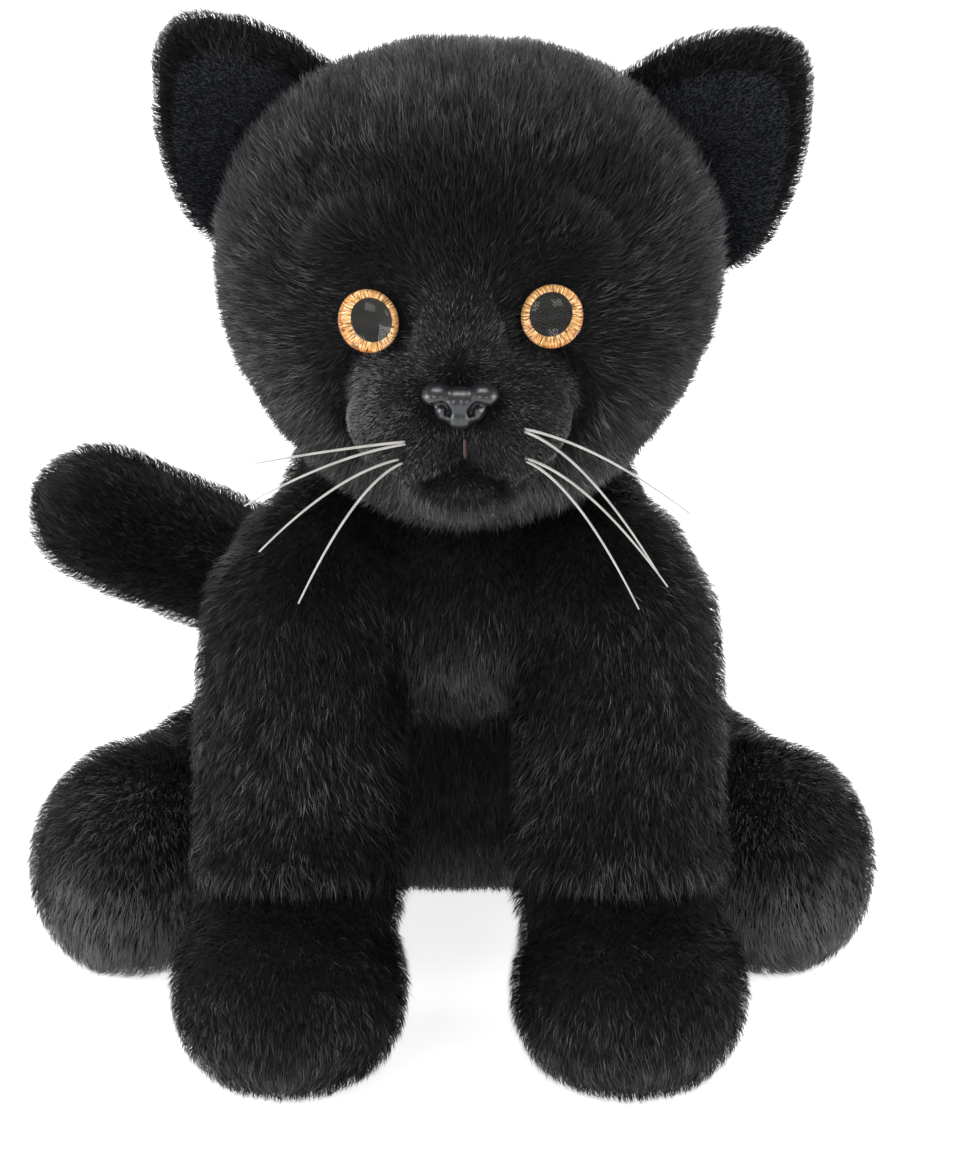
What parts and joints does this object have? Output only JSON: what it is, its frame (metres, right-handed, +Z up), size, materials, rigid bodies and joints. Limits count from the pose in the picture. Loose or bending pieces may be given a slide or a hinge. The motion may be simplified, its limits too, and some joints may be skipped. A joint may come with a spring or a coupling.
{
  "type": "plush cat",
  "caption": "Sitting black plush cat with amber safety eyes, a moulded nose and bristle whiskers; head, ears, legs and tail turn on their sewn seams.",
  "frame": {"origin": "centre of the bounding box at the level the cat sits on", "axes": "+Z up, the cat faces -Y, its own left is +X"},
  "size_m": [0.2229, 0.2336, 0.2546],
  "materials": {
    "plush": "black long-pile plush, nap lying down the body",
    "short_plush": "blue-black short-pile plush",
    "stuffing": "white polyester fibre stuffing",
    "pellet_cloth": "plain woven bag of plastic pellets",
    "eye_clear": "clear polished dome",
    "eye_amber": "amber iris printed round a black pupil",
    "nose_plastic": "satin black moulding",
    "washer_plastic": "white push-on washer",
    "bristle": "white nylon bristle",
    "thread": "brown sewing thread"
  },
  "bodies": {
    "torso": {"body_cover": "plush", "body_filling": "stuffing", "pellet_bag": "pellet_cloth"},
    "neck": {"neck_cover": "plush", "neck_filling": "stuffing"},
    "head": {"head_cover": "plush", "head_filling": "stuffing", "muzzle_cover": "short_plush", "muzzle_filling": "stuffing", "chin_cover": "plush", "mouth_stitch": "thread", "nose": "nose_plastic", "nose_washer": "washer_plastic", "eye_left_iris": "eye_amber", "eye_left_lens": "eye_clear", "eye_left_washer": "washer_plastic", "eye_right_iris": "eye_amber", "eye_right_lens": "eye_clear", "eye_right_washer": "washer_plastic", "whisker_1": "bristle", "whisker_2": "bristle", "whisker_3": "bristle", "whisker_4": "bristle"},
    "ear_left": {"ear_left_back": "plush", "ear_left_lining": "short_plush"},
    "ear_right": {"ear_right_back": "plush", "ear_right_lining": "short_plush"},
    "tail": {"tail_cover": "plush", "tail_filling": "stuffing"},
    "front_leg_left": {"front_leg_left_cover": "plush", "front_leg_left_filling": "stuffing", "front_paw_left_cover": "plush", "front_paw_left_filling": "stuffing"},
    "hind_leg_left": {"hind_leg_left_cover": "plush", "hind_leg_left_filling": "stuffing", "hind_foot_left_cover": "plush", "hind_foot_left_filling": "stuffing"},
    "front_leg_right": {"front_leg_right_cover": "plush", "front_leg_right_filling": "stuffing", "front_paw_right_cover": "plush", "front_paw_right_filling": "stuffing"},
    "hind_leg_right": {"hind_leg_right_cover": "plush", "hind_leg_right_filling": "stuffing", "hind_foot_right_cover": "plush", "hind_foot_right_filling": "stuffing"}
  },
  "joints": [
    {"name": "head_turn", "type": "hinge", "parent": "torso", "child": "neck", "pos_m": [0.0084, -0.0158, 0.1385], "axis": [0, 0, 1], "range_deg": [-22, 22], "stiffness_Nm_per_rad": 0.6},
    {"name": "head_nod", "type": "hinge", "parent": "neck", "child": "head", "pos_m": [0.0084, -0.0158, 0.1385], "axis": [1, 0, 0], "range_deg": [-8, 8], "stiffness_Nm_per_rad": 1.2},
    {"name": "ear_left_flex", "type": "hinge", "parent": "head", "child": "ear_left", "pos_m": [0.06087, -0.02978, 0.21936], "axis": [0.5316, -0.1294, -0.837], "range_deg": [-10, 10], "stiffness_Nm_per_rad": 0.02},
    {"name": "ear_right_flex", "type": "hinge", "parent": "head", "child": "ear_right", "pos_m": [-0.04112, -0.02519, 0.22307], "axis": [-0.5994, -0.0709, -0.7973], "range_deg": [-10, 10], "stiffness_Nm_per_rad": 0.02},
    {"name": "front_leg_left_swing", "type": "hinge", "parent": "torso", "child": "front_leg_left", "pos_m": [0.0447, -0.0368, 0.1045], "axis": [-1, 0, 0], "range_deg": [-5, 30], "stiffness_Nm_per_rad": 0.5},
    {"name": "front_leg_right_swing", "type": "hinge", "parent": "torso", "child": "front_leg_right", "pos_m": [-0.0329, -0.0368, 0.1045], "axis": [-1, 0, 0], "range_deg": [-5, 30], "stiffness_Nm_per_rad": 0.5},
    {"name": "hind_leg_left_swing", "type": "hinge", "parent": "torso", "child": "hind_leg_left", "pos_m": [0.0539, 0.0462, 0.038], "axis": [0, 0, 1], "range_deg": [-9, 9], "stiffness_Nm_per_rad": 0.5},
    {"name": "hind_leg_right_swing", "type": "hinge", "parent": "torso", "child": "hind_leg_right", "pos_m": [-0.0421, 0.0462, 0.038], "axis": [0, 0, 1], "range_deg": [-9, 9], "stiffness_Nm_per_rad": 0.5},
    {"name": "tail_swing", "type": "hinge", "parent": "torso", "child": "tail", "pos_m": [-0.0071, 0.0862, 0.056], "axis": [0, 0, -1], "range_deg": [-8, 40], "stiffness_Nm_per_rad": 0.15}
  ]
}
